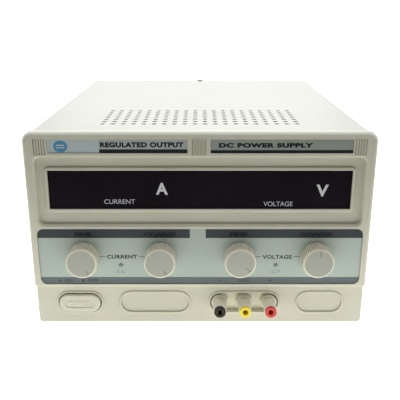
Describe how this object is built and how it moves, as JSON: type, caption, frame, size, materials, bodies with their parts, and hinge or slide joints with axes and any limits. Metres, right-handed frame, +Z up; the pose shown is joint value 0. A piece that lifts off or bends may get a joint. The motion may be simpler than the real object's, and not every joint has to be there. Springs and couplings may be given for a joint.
{
  "type": "bench power supply",
  "caption": "Adjustable bench DC power supply: moulded front bezel with a wide display window, rotary controls, a push switch and binding posts on a vented steel case with a rear fan and inlet.",
  "frame": {"origin": "on the bench, under the middle of the bounding box, at the underside of the feet", "axes": "+Z up, -Y out of the front panel towards the user, +X to the user's right"},
  "size_m": [0.265, 0.33, 0.1635],
  "materials": {
    "bezel_plastic": "fine-textured warm grey moulding",
    "button_plastic": "smooth warm grey moulding",
    "knob_plastic": "satin warm grey moulding with axial ribs",
    "sleeve_plastic": "satin ivory moulding with ribs",
    "cover_paint": "fine-textured off-white paint",
    "zinc_steel": "zinc plated",
    "shaft_metal": "nickel plated",
    "window_smoke": "dark smoked acrylic",
    "overlay_print": "satin printed film, pale grey green with dark bands",
    "label_print": "satin printed film",
    "black_cap": "gloss moulding",
    "yellow_cap": "gloss moulding",
    "red_cap": "gloss moulding",
    "socket_brass": "machined, tarnished a little",
    "led_lens": "unlit translucent lens",
    "black_plastic": "glass-filled nylon",
    "board_laminate": "green solder mask",
    "capacitor_sleeve": "shrink sleeve",
    "heatsink_aluminium": "extruded, natural anodised",
    "core_iron": "varnished laminations",
    "winding_copper": "enamelled copper under tape",
    "fuse_glass": "clear glass with plated caps",
    "lead_insulation": "insulated stranded wire",
    "foot_rubber": "moulded rubber"
  },
  "bodies": {
    "case": {"blank_plug_long": "bezel_plastic", "blank_plug_right": "bezel_plastic", "board_standoffs": "zinc_steel", "bridge_rectifier": "black_plastic", "chassis_pan": "zinc_steel", "control_overlay": "overlay_print", "cover_screws": "zinc_steel", "current_led": "led_lens", "digit_displays": "black_plastic", "display_board": "board_laminate", "display_window": "window_smoke", "fan_frame": "black_plastic", "fan_guard": "zinc_steel", "filter_capacitors": "capacitor_sleeve", "front_bezel": "bezel_plastic", "front_subpanel": "zinc_steel", "heatsink": "heatsink_aluminium", "inlet_pins": "socket_brass", "label_plate_left": "label_print", "label_plate_right": "label_print", "lower_front_panel": "bezel_plastic", "main_board": "board_laminate", "mains_inlet": "black_plastic", "output_leads": "lead_insulation", "panel_screws": "zinc_steel", "post_bases": "bezel_plastic", "post_stud_black": "socket_brass", "post_stud_red": "socket_brass", "post_stud_yellow": "socket_brass", "pot_nuts": "zinc_steel", "potentiometers": "black_plastic", "power_switch": "black_plastic", "power_transistors": "black_plastic", "rear_panel": "cover_paint", "rubber_feet": "foot_rubber", "terminal_nuts": "zinc_steel", "terminal_plate": "bezel_plastic", "top_cover": "cover_paint", "transformer_core": "core_iron", "transformer_winding": "winding_copper", "voltage_led": "led_lens"},
    "knob_current_fine_body": {"knob_current_fine": "knob_plastic", "pot_shaft_current_fine": "shaft_metal"},
    "knob_current_coarse_body": {"knob_current_coarse": "knob_plastic", "pot_shaft_current_coarse": "shaft_metal"},
    "knob_voltage_fine_body": {"knob_voltage_fine": "knob_plastic", "pot_shaft_voltage_fine": "shaft_metal"},
    "knob_voltage_coarse_body": {"knob_voltage_coarse": "knob_plastic", "pot_shaft_voltage_coarse": "shaft_metal"},
    "power_button_body": {"power_button": "button_plastic", "switch_plunger": "black_plastic"},
    "fan_rotor_body": {"fan_rotor": "black_plastic"},
    "fuse_drawer_body": {"fuse_drawer": "black_plastic", "fuse": "fuse_glass"},
    "post_ring_black_body": {"post_ring_black": "black_cap"},
    "post_sleeve_black_body": {"post_sleeve_black": "sleeve_plastic"},
    "post_ring_yellow_body": {"post_ring_yellow": "yellow_cap"},
    "post_sleeve_yellow_body": {"post_sleeve_yellow": "sleeve_plastic"},
    "post_ring_red_body": {"post_ring_red": "red_cap"},
    "post_sleeve_red_body": {"post_sleeve_red": "sleeve_plastic"}
  },
  "joints": [
    {"name": "turn_current_fine", "type": "hinge", "parent": "case", "child": "knob_current_fine_body", "pos_m": [-0.091, -0.15055, 0.0631], "axis": [0, 1, 0], "range_deg": [-300, 0]},
    {"name": "turn_current_coarse", "type": "hinge", "parent": "case", "child": "knob_current_coarse_body", "pos_m": [-0.031, -0.15055, 0.0631], "axis": [0, 1, 0], "range_deg": [-300, 0]},
    {"name": "turn_voltage_fine", "type": "hinge", "parent": "case", "child": "knob_voltage_fine_body", "pos_m": [0.031, -0.15055, 0.0631], "axis": [0, 1, 0], "range_deg": [-278, 22]},
    {"name": "turn_voltage_coarse", "type": "hinge", "parent": "case", "child": "knob_voltage_coarse_body", "pos_m": [0.091, -0.15055, 0.0631], "axis": [0, 1, 0], "range_deg": [-158, 142]},
    {"name": "press_power", "type": "slide", "parent": "case", "child": "power_button_body", "axis": [0, 1, 0], "range_m": [0, 0.0035], "stiffness_N_per_m": 400, "springref_m": -0.002},
    {"name": "travel_black", "type": "slide", "parent": "case", "child": "post_ring_black_body", "axis": [0, -1, 0], "range_m": [0, 0.004]},
    {"name": "unscrew_black", "type": "hinge", "parent": "post_ring_black_body", "child": "post_sleeve_black_body", "pos_m": [0.01575, -0.14875, 0.0218], "axis": [0, -1, 0], "range_deg": [0, 1440.5]},
    {"name": "travel_yellow", "type": "slide", "parent": "case", "child": "post_ring_yellow_body", "axis": [0, -1, 0], "range_m": [0, 0.004]},
    {"name": "unscrew_yellow", "type": "hinge", "parent": "post_ring_yellow_body", "child": "post_sleeve_yellow_body", "pos_m": [0.03575, -0.14875, 0.0218], "axis": [0, -1, 0], "range_deg": [0, 1440.5]},
    {"name": "travel_red", "type": "slide", "parent": "case", "child": "post_ring_red_body", "axis": [0, -1, 0], "range_m": [0, 0.004]},
    {"name": "unscrew_red", "type": "hinge", "parent": "post_ring_red_body", "child": "post_sleeve_red_body", "pos_m": [0.05575, -0.14875, 0.0218], "axis": [0, -1, 0], "range_deg": [0, 1440.5]},
    {"name": "spin_fan", "type": "hinge", "parent": "case", "child": "fan_rotor_body", "pos_m": [-0.07, 0.14905, 0.084], "axis": [0, 1, 0], "continuous": true},
    {"name": "pull_fuse_drawer", "type": "slide", "parent": "case", "child": "fuse_drawer_body", "axis": [0, 1, 0], "range_m": [0, 0.012]}
  ],
  "couplings": [
    {"joint": "unscrew_black", "follows": "travel_black", "rad_per_m": 6283.2},
    {"joint": "unscrew_yellow", "follows": "travel_yellow", "rad_per_m": 6283.2},
    {"joint": "unscrew_red", "follows": "travel_red", "rad_per_m": 6283.2}
  ]
}
